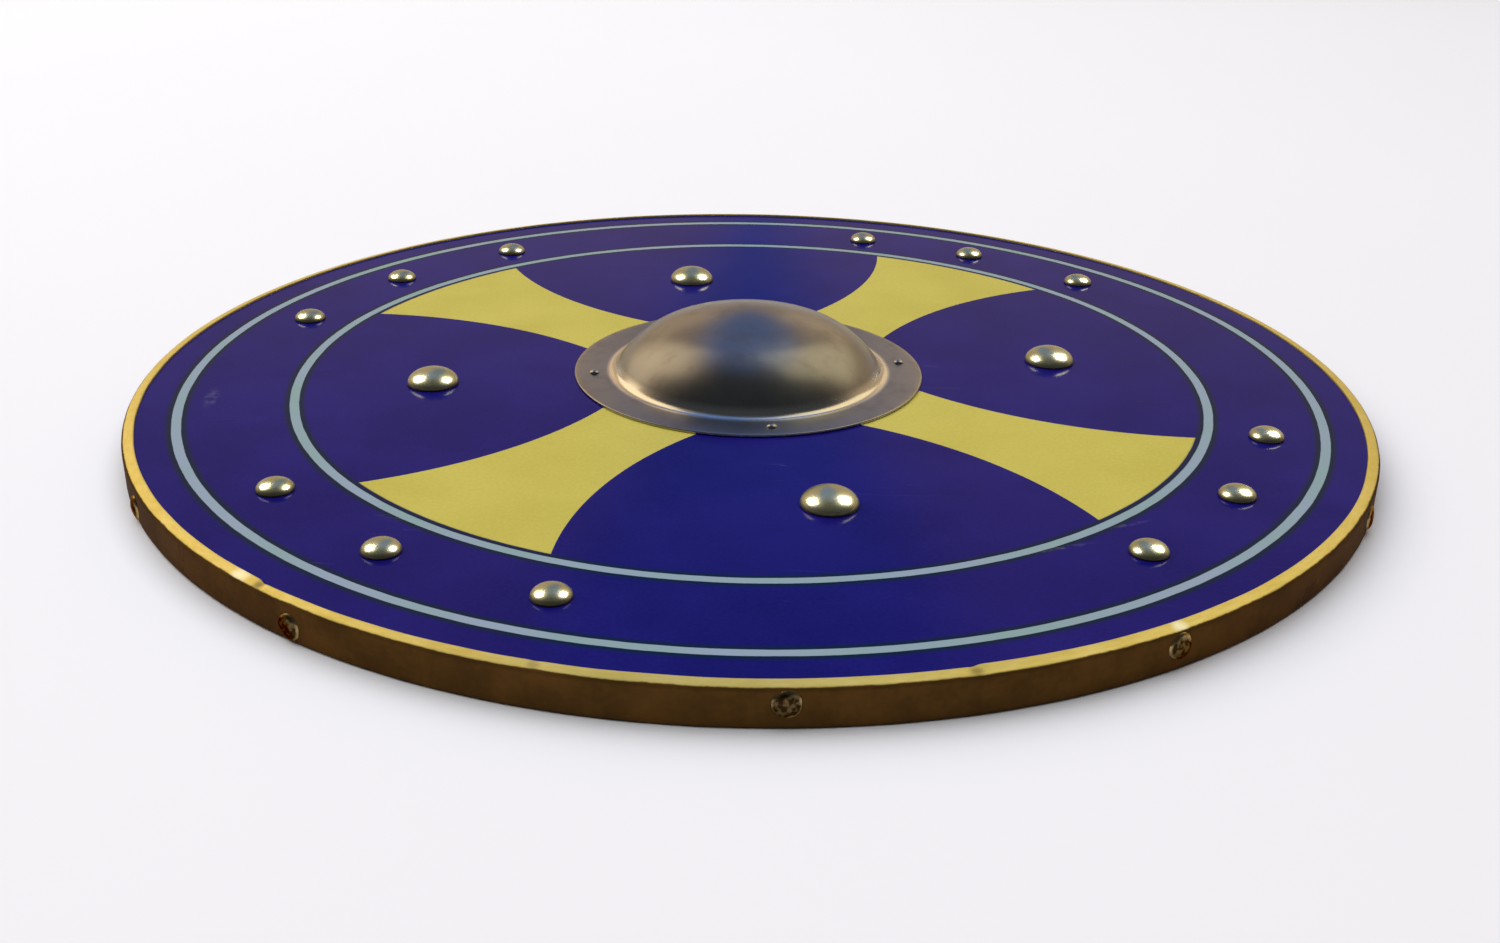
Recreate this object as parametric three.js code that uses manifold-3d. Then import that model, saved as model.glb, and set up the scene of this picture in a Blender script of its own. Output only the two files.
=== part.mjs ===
import * as THREE from 'three';
import { mergeVertices } from 'three/addons/utils/BufferGeometryUtils.js';
import Module from 'manifold-3d';

// A round wooden shield, lying on its back: +Z points out of the painted face, and the origin is
// the centre of the plane that the back of the brass edging rests on. All lengths are millimetres
// and all angles degrees, counted from +X towards +Y.

// Board: a plywood disc with a hand opening behind the boss
const boardRadius = 303.5;
const boardThickness = 15;
const handHoleRadius = 57;
const gripWidth = 30;
const gripCornerRadius = 9;
const handEdgeChamfer = 3;

// Brass edging: one strip folded over the front and back of the board's rim
const edgingSheet = 1.25;
const edgingFit = 0.25;
const lipWidth = 6;
const edgingBendRadius = 1.75;

// Boss: spun steel, a flat flange, a small fillet, a tight shoulder and a wide crown
const bossSheet = 1.5;
const bossFlangeRadius = 89;
const bossRise = 30;
const bossCrownRadius = 130;
const bossCrownAngle = 17.5;
const bossShoulderRadius = 52;
const bossFilletRadius = 5;
const bossOffsetX = -2;

// Boss nails: small round heads through the flat of the flange, this share of the way across it
// from the foot of the dome
const bossNailFlangeShare = 0.427;
const bossNailFirstAngle = 8.5;
const bossNailCount = 4;
const bossNail = { headRadius: 2.6, headHeight: 1.6, shankRadius: 1, shankLength: 12, sides: 10 };

// Large studs: one in the middle of each blue field, set by hand
const largeStud = {
  headRadius: 12.75,
  headHeight: 7.9,
  wall: 1,
  shankRadius: 1.5,
  shankLength: 12,
  sides: 18,
};
const largeStudPlaces = [
  { radius: 158, angle: 8.1 },
  { radius: 156.3, angle: 103.9 },
  { radius: 161.5, angle: 189.5 },
  { radius: 162.3, angle: 282 },
];

// Small studs: three beyond the end of each arm of the painted cross, set by hand on one circle
const smallStud = {
  headRadius: 8.25,
  headHeight: 5.1,
  wall: 0.8,
  shankRadius: 1.2,
  shankLength: 11,
  sides: 12,
};
const smallStudRimDistance = 49.2;
const smallStudAngles = [39.3, 57.4, 73.8, 127.1, 145.8, 164.7, 217.4, 235.3, 253.2, 309.1, 326, 342.6];

// Rim nails: driven through the side of the edging. The first five are where the front of the
// shield shows them, and the rest share the remaining arc evenly.
const rimNail = { headRadius: 5.75, headHeight: 2, shankRadius: 1, shankLength: 14, sides: 8 };
const rimNailCount = 12;
const rimNailSeatGap = 0.1;
const setRimNails = [
  { angle: 210.3, height: 6.8 },
  { angle: 236.3, height: 6.8 },
  { angle: 272.6, height: 10.2 },
  { angle: 301.1, height: 10.2 },
  { angle: 332.2, height: 7.8 },
];

// Fits: play round a shank, and the spare depth and overrun of every drilled hole
const shankClearance = 0.3;
const drillSpare = 0.5;
const drillSides = 6;
const cutOverrun = 2;
const nailTipLength = 3;

// Facets
const discSides = 72;
const bossSides = 48;
const openingArcSteps = 5;
const bendSteps = 2;
const filletSteps = 2;
const shoulderSteps = 3;
const crownSteps = 2;
const nailHeadSteps = 2;
const domeSteps = 3;
const domeInsideSteps = 2;

// Heights and radii that follow from the sizes above
const backZ = edgingSheet;
const faceZ = backZ + boardThickness;
const rimTopZ = faceZ + edgingSheet;
const edgingInnerRadius = boardRadius + edgingFit;
const rimRadius = edgingInnerRadius + edgingSheet;
const lipInnerRadius = rimRadius - lipWidth;
const flangeTopZ = faceZ + bossSheet;
const smallStudCircleRadius = boardRadius - smallStudRimDistance;

const wasm = await Module();
wasm.setup();

function radians(degrees) {
  return THREE.MathUtils.degToRad(degrees);
}

function polar(radius, angle) {
  return new THREE.Vector2(radius * Math.cos(radians(angle)), radius * Math.sin(radians(angle)));
}

// Points of a circular arc from one angle to another, both ends included
function arc(centre, radius, from, to, steps) {
  const points = [];
  for (let i = 0; i <= steps; i += 1) {
    points.push(polar(radius, from + ((to - from) * i) / steps).add(centre));
  }
  return points;
}

function toSolid(geometry) {
  const bare = geometry.clone();
  bare.deleteAttribute('normal');
  bare.deleteAttribute('uv');
  const welded = mergeVertices(bare);
  const vertProperties = new Float32Array(welded.attributes.position.array);
  const triVerts = new Uint32Array(welded.index.array);
  return new wasm.Manifold(new wasm.Mesh({ numProp: 3, vertProperties, triVerts }));
}

function toGeometry(solid) {
  const mesh = solid.getMesh();
  const geometry = new THREE.BufferGeometry();
  geometry.setAttribute('position', new THREE.BufferAttribute(mesh.vertProperties, 3));
  geometry.setIndex(new THREE.BufferAttribute(mesh.triVerts, 1));
  geometry.computeVertexNormals();
  return geometry;
}

// Takes each cutter away from the body, and gives the cut body as a geometry
function cut(body, cutters) {
  let solid = toSolid(body);
  for (const cutter of cutters) {
    solid = solid.subtract(toSolid(cutter));
  }
  return toGeometry(solid);
}

// Turns a profile of (radius, height) points about +Z
function turned(profile, sides) {
  const geometry = new THREE.LatheGeometry(profile, sides);
  geometry.rotateX(Math.PI / 2);
  return geometry;
}

function metal(color, roughness) {
  return new THREE.MeshStandardMaterial({ color, roughness, metalness: 1 });
}

function piece(name, geometry, material) {
  const mesh = new THREE.Mesh(geometry, material);
  mesh.name = name;
  return mesh;
}

// A drill along +Z whose sides stay clear of a round shank, from the depth up to the height
function drill(shankRadius, depth, height) {
  const radius = (shankRadius + shankClearance) / Math.cos(Math.PI / drillSides);
  const geometry = new THREE.CylinderGeometry(radius, radius, depth + height, drillSides);
  geometry.rotateX(Math.PI / 2);
  geometry.translate(0, 0, (height - depth) / 2);
  return geometry;
}

// Centres of the boss's three arcs. Each arc meets the next in line, so the shoulder's centre is on
// the crown's last radius, and the fillet's is as far from the shoulder's as their radii add up to.
function bossCentres() {
  const crown = new THREE.Vector2(0, bossSheet + bossRise - bossCrownRadius);
  const shoulder = polar(bossCrownRadius - bossShoulderRadius, 90 - bossCrownAngle).add(crown);
  const filletZ = bossSheet + bossFilletRadius;
  const reach = bossShoulderRadius + bossFilletRadius;
  const drop = filletZ - shoulder.y;
  const fillet = new THREE.Vector2(shoulder.x + Math.sqrt(reach ** 2 - drop ** 2), filletZ);
  return { crown, shoulder, fillet };
}

function bossNailPlaces() {
  const foot = bossCentres().fillet.x;
  const circleRadius = foot + (bossFlangeRadius - foot) * bossNailFlangeShare;
  return Array.from({ length: bossNailCount }, (_, i) => {
    const place = polar(circleRadius, bossNailFirstAngle + (360 / bossNailCount) * i);
    return place.add(new THREE.Vector2(bossOffsetX, 0));
  });
}

function largeStudCentres() {
  return largeStudPlaces.map((place) => polar(place.radius, place.angle));
}

function smallStudCentres() {
  return smallStudAngles.map((angle) => polar(smallStudCircleRadius, angle));
}

function rimNailPlaces() {
  const places = [...setRimNails];
  const first = setRimNails[0].angle;
  const last = setRimNails[setRimNails.length - 1].angle;
  const rest = rimNailCount - setRimNails.length;
  const step = (first + 360 - last) / (rest + 1);
  for (let i = 1; i <= rest; i += 1) {
    places.push({ angle: last + step * i, height: backZ + boardThickness / 2 });
  }
  return places;
}

// Pilot hole for one rim nail, laid radially through the edging into the board
function rimNailDrill(place) {
  const geometry = drill(rimNail.shankRadius, rimNail.shankLength + drillSpare, cutOverrun);
  geometry.rotateY(Math.PI / 2);
  geometry.translate(rimRadius, 0, place.height);
  geometry.rotateZ(radians(place.angle));
  return geometry;
}

// One D-shaped finger opening: the part of the hand hole beside the grip, with rounded corners
function fingerOpeningShape() {
  const side = gripWidth / 2;
  const cornerX = side + gripCornerRadius;
  const cornerY = Math.sqrt((handHoleRadius - gripCornerRadius) ** 2 - cornerX ** 2);
  const turn = Math.atan2(cornerY, cornerX);
  const shape = new THREE.Shape();
  shape.moveTo(side, -cornerY);
  shape.lineTo(side, cornerY);
  shape.absarc(cornerX, cornerY, gripCornerRadius, Math.PI, turn, true);
  shape.absarc(0, 0, handHoleRadius, turn, -turn, true);
  shape.absarc(cornerX, -cornerY, gripCornerRadius, -turn, -Math.PI, true);
  return shape;
}

// The cutter of a finger opening: straight through, and opened out at both faces by a chamfer
function fingerOpeningCutters(turnAngle) {
  const shape = fingerOpeningShape();
  const through = new THREE.ExtrudeGeometry(shape, {
    depth: boardThickness,
    bevelEnabled: false,
    curveSegments: openingArcSteps,
  });
  through.translate(0, 0, backZ);
  const mouth = new THREE.ExtrudeGeometry(shape, {
    depth: cutOverrun,
    bevelThickness: handEdgeChamfer,
    bevelSize: handEdgeChamfer,
    bevelSegments: 1,
    curveSegments: openingArcSteps,
  });
  const frontMouth = mouth.clone().translate(0, 0, faceZ);
  const backMouth = mouth.clone().translate(0, 0, backZ - cutOverrun);
  return [through, frontMouth, backMouth].map((part) => part.rotateZ(radians(turnAngle)));
}

// The disc, cut with the two finger openings and a blind pilot hole under every stud and nail
function board() {
  const lastAngle = 360 - 360 / discSides;
  const disc = new THREE.Shape(arc(new THREE.Vector2(), boardRadius, 0, lastAngle, discSides - 1));
  const blank = new THREE.ExtrudeGeometry(disc, { depth: boardThickness, bevelEnabled: false });
  blank.translate(0, 0, backZ);
  const bossNailDepth = bossNail.shankLength - bossSheet;
  const pilots = [
    { centres: largeStudCentres(), radius: largeStud.shankRadius, depth: largeStud.shankLength },
    { centres: smallStudCentres(), radius: smallStud.shankRadius, depth: smallStud.shankLength },
    { centres: bossNailPlaces(), radius: bossNail.shankRadius, depth: bossNailDepth },
  ];
  const cutters = [...fingerOpeningCutters(0), ...fingerOpeningCutters(180)];
  for (const pilot of pilots) {
    for (const centre of pilot.centres) {
      const hole = drill(pilot.radius, pilot.depth + drillSpare, cutOverrun);
      cutters.push(hole.translate(centre.x, centre.y, faceZ));
    }
  }
  cutters.push(...rimNailPlaces().map(rimNailDrill));
  const material = new THREE.MeshStandardMaterial({ color: 0x28286a, roughness: 0.4, metalness: 0 });
  return piece('board', cut(blank, cutters), material);
}

// A channel section turned once round the rim, drilled for the rim nails
function brassEdging() {
  const bendRadius = rimRadius - edgingBendRadius;
  const profile = [
    new THREE.Vector2(lipInnerRadius, 0),
    ...arc(new THREE.Vector2(bendRadius, edgingBendRadius), edgingBendRadius, -90, 0, bendSteps),
    ...arc(new THREE.Vector2(bendRadius, rimTopZ - edgingBendRadius), edgingBendRadius, 0, 90, bendSteps),
    new THREE.Vector2(lipInnerRadius, rimTopZ),
    new THREE.Vector2(lipInnerRadius, faceZ),
    new THREE.Vector2(edgingInnerRadius, faceZ),
    new THREE.Vector2(edgingInnerRadius, backZ),
    new THREE.Vector2(lipInnerRadius, backZ),
    new THREE.Vector2(lipInnerRadius, 0),
  ];
  const channel = turned(profile, discSides);
  return piece('brass_edging', cut(channel, rimNailPlaces().map(rimNailDrill)), metal(0xc8a55a, 0.3));
}

// Profile of one side of the boss sheet, as arcs of the crown, the shoulder and the fillet. Their
// centres are the same for both sides of the sheet, and inset is the depth below the outside.
function bossArcs(inset) {
  const { crown, shoulder, fillet } = bossCentres();
  const tilt = 90 - bossCrownAngle;
  const across = fillet.clone().sub(shoulder);
  const lean = THREE.MathUtils.radToDeg(Math.atan2(across.y, across.x));
  return [
    ...arc(fillet, bossFilletRadius + inset, -90, lean - 180, filletSteps),
    ...arc(shoulder, bossShoulderRadius - inset, lean, tilt, shoulderSteps).slice(1),
    ...arc(crown, bossCrownRadius - inset, tilt, 90, crownSteps).slice(1),
  ];
}

function boss() {
  const profile = [
    ...bossArcs(bossSheet).reverse(),
    new THREE.Vector2(bossFlangeRadius, 0),
    new THREE.Vector2(bossFlangeRadius, bossSheet),
    ...bossArcs(0),
  ];
  profile[0].x = 0;
  profile[profile.length - 1].x = 0;
  const shell = turned(profile, bossSides);
  shell.translate(bossOffsetX, 0, faceZ);
  const holes = bossNailPlaces().map((place) => {
    const hole = drill(bossNail.shankRadius, bossSheet + drillSpare, drillSpare);
    return hole.translate(place.x, place.y, flangeTopZ);
  });
  return piece('boss', cut(shell, holes), metal(0x8c8a84, 0.4));
}

// A solid nail with a low round head: the seat of the head is at height 0 and the shank below it
function solidNail(size) {
  const capRadius = (size.headRadius ** 2 + size.headHeight ** 2) / (2 * size.headHeight);
  const centre = new THREE.Vector2(0, size.headHeight - capRadius);
  const rim = THREE.MathUtils.radToDeg(Math.asin(size.headRadius / capRadius));
  const profile = [
    new THREE.Vector2(0, -size.shankLength),
    new THREE.Vector2(size.shankRadius, nailTipLength - size.shankLength),
    new THREE.Vector2(size.shankRadius, 0),
    ...arc(centre, capRadius, 90 - rim, 90, nailHeadSteps),
  ];
  profile[profile.length - 1].x = 0;
  return turned(profile, size.sides);
}

// Points of half an ellipse's upper part, from its rim at height 0 up to a last radius
function domeArc(radius, height, lastRadius, steps) {
  const last = Math.acos(lastRadius / radius);
  return Array.from({ length: steps + 1 }, (_, i) => {
    const turn = (last * i) / steps;
    return new THREE.Vector2(radius * Math.cos(turn), height * Math.sin(turn));
  });
}

// A domed stud pressed from sheet, open underneath, with its shank fixed inside the dome
function domedStud(size) {
  const insideRadius = size.headRadius - size.wall;
  const insideHeight = size.headHeight - size.wall;
  const profile = [
    new THREE.Vector2(0, -size.shankLength),
    new THREE.Vector2(size.shankRadius, nailTipLength - size.shankLength),
    ...domeArc(insideRadius, insideHeight, size.shankRadius, domeInsideSteps).reverse(),
    ...domeArc(size.headRadius, size.headHeight, 0, domeSteps),
  ];
  profile[profile.length - 1].x = 0;
  return turned(profile, size.sides);
}

function studMaterial() {
  return metal(0xa8986a, 0.25);
}

function bossNails() {
  return bossNailPlaces().map((place, i) => {
    const nail = piece(`boss_nail_${i + 1}`, solidNail(bossNail), metal(0x9a9a94, 0.35));
    nail.position.set(place.x, place.y, flangeTopZ);
    return nail;
  });
}

function studs(name, size, centres, digits) {
  return centres.map((centre, i) => {
    const number = String(i + 1).padStart(digits, '0');
    const stud = piece(`${name}_${number}`, domedStud(size), studMaterial());
    stud.position.set(centre.x, centre.y, faceZ);
    return stud;
  });
}

function rimNails() {
  return rimNailPlaces().map((place, i) => {
    const number = String(i + 1).padStart(2, '0');
    const nail = piece(`rim_nail_${number}`, solidNail(rimNail), studMaterial());
    nail.rotation.y = Math.PI / 2;
    nail.position.set(rimRadius + rimNailSeatGap, 0, place.height);
    const radial = new THREE.Group();
    radial.rotation.z = radians(place.angle);
    radial.add(nail);
    return radial;
  });
}

const shield = new THREE.Group();
shield.add(board(), brassEdging(), boss());
shield.add(...bossNails());
shield.add(...studs('large_stud', largeStud, largeStudCentres(), 1));
shield.add(...studs('small_stud', smallStud, smallStudCentres(), 2));
shield.add(...rimNails());

export default shield;
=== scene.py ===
"""A round wooden shield, lying on its back on a pale floor.

A plywood board carries the paint. A brass strip is folded round its rim, a spun steel boss covers the
hand opening, and domed studs decorate the field. Lengths are metres, with +Z out of the painted face.
"""
import math

import bmesh
import bpy
import numpy as np
from mathutils import Matrix, Vector


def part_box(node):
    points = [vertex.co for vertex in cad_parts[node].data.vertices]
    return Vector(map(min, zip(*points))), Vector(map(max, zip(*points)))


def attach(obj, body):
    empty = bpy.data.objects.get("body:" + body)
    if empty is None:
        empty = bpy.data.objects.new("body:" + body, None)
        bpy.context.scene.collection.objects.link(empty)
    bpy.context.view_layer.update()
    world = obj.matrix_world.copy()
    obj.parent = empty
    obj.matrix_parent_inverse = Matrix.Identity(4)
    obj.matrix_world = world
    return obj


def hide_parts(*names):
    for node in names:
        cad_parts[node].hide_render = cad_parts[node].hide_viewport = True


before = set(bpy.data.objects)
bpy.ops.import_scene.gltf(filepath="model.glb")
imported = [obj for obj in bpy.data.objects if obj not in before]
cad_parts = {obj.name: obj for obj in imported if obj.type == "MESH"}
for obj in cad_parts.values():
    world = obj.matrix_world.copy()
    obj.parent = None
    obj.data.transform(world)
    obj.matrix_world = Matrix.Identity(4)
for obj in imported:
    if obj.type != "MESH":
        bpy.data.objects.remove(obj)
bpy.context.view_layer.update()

# Board: one disc of birch plywood, 15 mm thick. Two D-shaped finger openings are sawn through its
# middle and their edges rounded over, and the strip that is left between them is the grip.
board_low, board_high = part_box("board")
board_radius = board_high.x
board_face = board_high.z
board_back = board_low.z
grip_half_width = 0.015
hand_hole_radius = 0.057
opening_corner_radius = 0.009
opening_round_over = 0.003
ray_centre = np.array([0.027, 0.0])
field_radius = 0.062
quarter_circle = math.pi / 2
full_circle = 2 * math.pi


def opening_edge(angle, widen):
    """Points of one D-shaped opening, on rays at these angles from the middle of the opening.

    A ray runs to the nearer of the grip's side, a straight line, and the hand hole, a circle round the
    origin. Where both lie past the corner's own small circle, it stops on that circle instead. widen
    moves the whole outline out into the wood by an equal distance.
    """
    direction = np.stack([np.cos(angle), np.sin(np.abs(angle))], axis=-1)
    side = grip_half_width - widen
    hole = hand_hole_radius + widen
    corner_x = grip_half_width + opening_corner_radius
    corner_y = math.sqrt((hand_hole_radius - opening_corner_radius) ** 2 - corner_x**2)
    corner = np.array([corner_x, corner_y])

    def to_circle(centre, radius):
        offset = centre - ray_centre
        along = direction @ offset
        return along + np.sqrt(np.maximum(along**2 - offset @ offset + radius**2, 0.0))

    leftward = np.minimum(direction[:, 0], -1e-9)
    to_side = np.where(direction[:, 0] < 0, (side - ray_centre[0]) / leftward, np.inf)
    reach = np.minimum(to_side, to_circle(np.zeros(2), hole))
    touches_hole = corner / np.linalg.norm(corner) * hole - ray_centre
    touches_side = np.array([side, corner_y]) - ray_centre
    past_first = np.abs(angle) > math.atan2(touches_hole[1], touches_hole[0])
    before_last = np.abs(angle) < math.atan2(touches_side[1], touches_side[0])
    on_corner = past_first & before_last
    reach = np.where(on_corner, to_circle(corner, opening_corner_radius + widen), reach)
    return ray_centre + np.stack([np.cos(angle), np.sin(angle)], axis=-1) * reach[:, None]


def at_height(flat, height):
    """Flat (x, y) points as (x, y, z) points at one height."""
    return np.column_stack([flat, np.full(len(flat), height)])


def closed_loops(loops):
    """Quads between each loop and the next, where every loop closes on itself."""
    rows = np.stack(loops)
    corner = np.arange(rows.shape[0] * rows.shape[1]).reshape(rows.shape[:2])
    beside = np.roll(corner, -1, axis=1)
    quads = np.stack([corner[:-1], beside[:-1], beside[1:], corner[1:]], axis=-1)
    return rows.reshape(-1, 3), quads.reshape(-1, 4)


def make_piece(name, patches, crease=math.radians(32)):
    """One closed mesh from patches of quads: shared points merged, faces turned outwards, shaded smooth
    but for the edges that turn by more than crease."""
    starts = np.cumsum([0] + [len(points) for points, _ in patches])
    points = np.concatenate([points for points, _ in patches])
    quads = np.concatenate([quads + start for (_, quads), start in zip(patches, starts)])
    mesh = bpy.data.meshes.new(name)
    mesh.from_pydata(points.tolist(), [], quads.tolist())
    shell = bmesh.new()
    shell.from_mesh(mesh)
    bmesh.ops.remove_doubles(shell, verts=shell.verts, dist=1e-6)
    bmesh.ops.recalc_face_normals(shell, faces=shell.faces)
    shell.to_mesh(mesh)
    shell.free()
    mesh.shade_smooth()
    mesh.set_sharp_from_angle(angle=crease)
    piece = bpy.data.objects.new(name, mesh)
    bpy.context.scene.collection.objects.link(piece)
    return piece


def stand_for(piece, node):
    """The finished piece takes the place of its node and lies still with the shield."""
    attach(piece, "root")
    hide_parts(node)


# Round each opening lies a half-round field of wood, whose rows close in on the opening, turn over its
# rounded edge, go down its wall and come out again on the back. A plain disc lies outside the fields.
arc_points = 129
chord_points = 41
field_row_count = 5
round_over_rows = 7
half_turns = np.linspace(-quarter_circle, quarter_circle, arc_points)
half_arc = field_radius * np.stack([np.cos(half_turns), np.sin(half_turns)], axis=-1)
half_chord = np.linspace(field_radius, -field_radius, chord_points)[1:-1, None] * np.array([0.0, 1.0])
half_field = np.concatenate([half_arc, half_chord])
ray_angles = np.arctan2(half_field[:, 1], half_field[:, 0] - ray_centre[0])
widest = opening_edge(ray_angles, opening_round_over)
inward = np.linspace(0, 1, field_row_count)[:, None, None]
field_rows = half_field * (1 - inward) + widest * inward
round_steps = np.linspace(0, quarter_circle, round_over_rows)[1:]
widenings = opening_round_over * (1 - np.sin(round_steps))
depths = opening_round_over * (1 - np.cos(round_steps))
wall = [(opening_edge(ray_angles, w), d) for w, d in zip(widenings, depths)]
opening_loops = [at_height(row, board_face) for row in field_rows]
opening_loops += [at_height(edge, board_face - depth) for edge, depth in wall]
opening_loops += [at_height(edge, board_back + depth) for edge, depth in reversed(wall)]
opening_loops += [at_height(row, board_back) for row in reversed(field_rows)]
mirror = np.array([-1.0, 1.0, 1.0])

disc_columns = 256
disc_rows = 20
disc_turns = np.linspace(0, full_circle, disc_columns, endpoint=False)
disc_circle = np.stack([np.cos(disc_turns), np.sin(disc_turns)], axis=-1)
disc_radii = np.linspace(field_radius, board_radius, disc_rows)
disc_loops = [at_height(disc_circle * r, board_face) for r in disc_radii]
disc_loops += [at_height(disc_circle * r, board_back) for r in reversed(disc_radii)]

board = make_piece(
    "shield_board",
    [
        closed_loops(disc_loops),
        closed_loops(opening_loops),
        closed_loops([loop * mirror for loop in opening_loops]),
    ],
)


class Amount:
    """A number that varies over a surface. Sums written with it become steps of its finish."""

    def __init__(self, finish, socket):
        self.finish = finish
        self.socket = socket

    def __add__(self, other):
        return self.finish.sum("ADD", self, other)

    def __sub__(self, other):
        return self.finish.sum("SUBTRACT", self, other)

    def __mul__(self, other):
        return self.finish.sum("MULTIPLY", self, other)

    def __truediv__(self, other):
        return self.finish.sum("DIVIDE", self, other)

    def __pow__(self, other):
        return self.finish.sum("POWER", self, other)

    def __abs__(self):
        return self.finish.sum("ABSOLUTE", self)


class Finish:
    """A finish being mixed for one material. Each method adds one step and returns its result."""

    def __init__(self, name):
        self.material = bpy.data.materials.new(name)
        self.material.use_nodes = True
        self.tree = self.material.node_tree
        self.tree.nodes.clear()
        self.shader = self.tree.nodes.new("ShaderNodeBsdfPrincipled")
        surface = self.tree.nodes.new("ShaderNodeOutputMaterial")
        self.tree.links.new(self.shader.outputs["BSDF"], surface.inputs["Surface"])
        self.place = self.tree.nodes.new("ShaderNodeTexCoord").outputs["Object"]

    def feed(self, socket, value):
        """Links a worked-out value to a socket, or sets a plain one on it."""
        value = getattr(value, "socket", value)
        if isinstance(value, bpy.types.NodeSocket):
            self.tree.links.new(value, socket)
        else:
            socket.default_value = value

    def step(self, kind, inputs, result=0, **settings):
        """Adds one shader node with these settings and inputs, and returns one of its outputs."""
        node = self.tree.nodes.new("ShaderNode" + kind)
        for name, value in settings.items():
            setattr(node, name, value)
        for key, value in inputs.items():
            self.feed(node.inputs[key], value)
        return node.outputs[result]

    def sum(self, operation, *values):
        """One arithmetic step."""
        return Amount(self, self.step("Math", dict(enumerate(values)), operation=operation))

    def axes(self, east, north, up):
        """The place on the surface as its three coordinates, each moved to count from a centre."""
        node = self.tree.nodes.new("ShaderNodeSeparateXYZ")
        self.feed(node.inputs[0], self.place)
        return [Amount(self, out) - start for out, start in zip(node.outputs, (east, north, up))]

    def join(self, east, north, up):
        """Three amounts as one place, for a pattern that follows something other than the axes."""
        return self.step("CombineXYZ", {0: east, 1: north, 2: up})

    def stretched(self, east, north, up):
        """The place on the surface, each axis scaled. A small factor draws a pattern out along it."""
        return self.step("VectorMath", {0: self.place, 1: (east, north, up)}, operation="MULTIPLY")

    def noise(self, size, detail=3.0, grit=0.5, place=None):
        """Cloudy variation from 0 to 1 with blotches about this size across."""
        inputs = {"Vector": place or self.place, "Scale": 1 / size, "Detail": detail, "Roughness": grit}
        return Amount(self, self.step("TexNoise", inputs))

    def between(self, value, low, high, start=0.0, end=1.0):
        """Goes smoothly from start to end while value goes from low to high."""
        inputs = {"Value": value, "From Min": low, "From Max": high, "To Min": start, "To Max": end}
        return Amount(self, self.step("MapRange", inputs, interpolation_type="SMOOTHSTEP"))

    def blend(self, amount, first, second):
        """first where amount is 0, second where it is 1."""
        inputs = {0: amount, 6: first, 7: second}
        return self.step("Mix", inputs, result=2, data_type="RGBA")

    def bump(self, height, depth, under=None):
        """Relief this deep, over the relief under it."""
        inputs = {"Height": height, "Distance": depth}
        if under is not None:
            inputs["Normal"] = under
        return self.step("Bump", inputs)

    def lay(self, **inputs):
        """Sets the shader's own inputs, each named with its words joined by underscores."""
        for name, value in inputs.items():
            self.feed(self.shader.inputs[name.replace("_", " ")], value)


def shade(red, green, blue):
    """A colour of a screen, 0 to 255, as the linear light that a shader takes."""
    screen = np.array([red, green, blue]) / 255
    linear = np.where(screen <= 0.04045, screen / 12.92, ((screen + 0.055) / 1.055) ** 2.4)
    return (*linear.tolist(), 1.0)


# Paint on the face of the board: semi-gloss, sprayed over masks, so its edges are crisp. A blue field
# has a yellow cross with curved sides, whose four blue gaps are each bounded by two equal circles, and
# two thin light-blue rings with dark edges. All of it is colour, with no thickness of its own.
lobe_axis = math.radians(10.2)
lobe_lean = math.radians(18.2)
lobe_centre_radius = 0.2492
lobe_radius = 0.1968
cross_radius = 0.2229
ring_radii = (0.2276, 0.2810)
ring_half_width = 0.0022
ring_dark_edge = 0.0024
dark_edge_softness = 0.0012
dark_edge_strength = 0.82
mask_softness = 0.00018
edge_waver = 0.0005
orange_peel_depth = 0.000015
board_wave_depth = 0.00012
blue_deep = shade(19, 14, 94)
blue_light = shade(30, 25, 112)
yellow_deep = shade(190, 178, 80)
yellow_light = shade(204, 192, 94)
ring_blue = shade(146, 161, 180)
ring_green = shade(136, 163, 162)
dark_edge_green = shade(12, 34, 44)
scratch_pale = shade(165, 165, 190)
# Scuffs that show on the face: place, direction they run in, half length and half width
scuffs = [
    ((-0.262, -0.052), 100.0, 0.016, 0.0045),
    ((0.122, -0.196), 20.0, 0.024, 0.0020),
    ((0.158, -0.172), 24.0, 0.013, 0.0016),
]

paint = Finish("blue_and_yellow_paint")
east, north, height = paint.axes(0, 0, board_face)
waver = (paint.noise(0.012) - 0.5) * edge_waver
radius = (east**2 + north**2) ** 0.5 + waver
turn = paint.sum("ARCTAN2", north, east)
off_lobe = abs(paint.sum("WRAP", turn - lobe_axis, quarter_circle / 2, -quarter_circle / 2))
across = radius * 2 * lobe_centre_radius * paint.sum("COSINE", off_lobe + lobe_lean)
from_lobe_centre = (radius**2 + lobe_centre_radius**2 - across) ** 0.5
outside_lobe = paint.between(from_lobe_centre - lobe_radius, -mask_softness, mask_softness)
inside_cross = paint.between(radius - cross_radius, -mask_softness, mask_softness, 1.0, 0.0)
from_inner = abs(radius - ring_radii[0])
from_outer = abs(radius - ring_radii[1])
from_ring = paint.sum("MINIMUM", from_inner, from_outer) - ring_half_width
on_ring = paint.between(from_ring, -mask_softness, mask_softness, 1.0, 0.0)
past_dark_edge = from_ring - ring_dark_edge
on_dark_edge = paint.between(past_dark_edge, -dark_edge_softness, dark_edge_softness, 1.0, 0.0)

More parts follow.
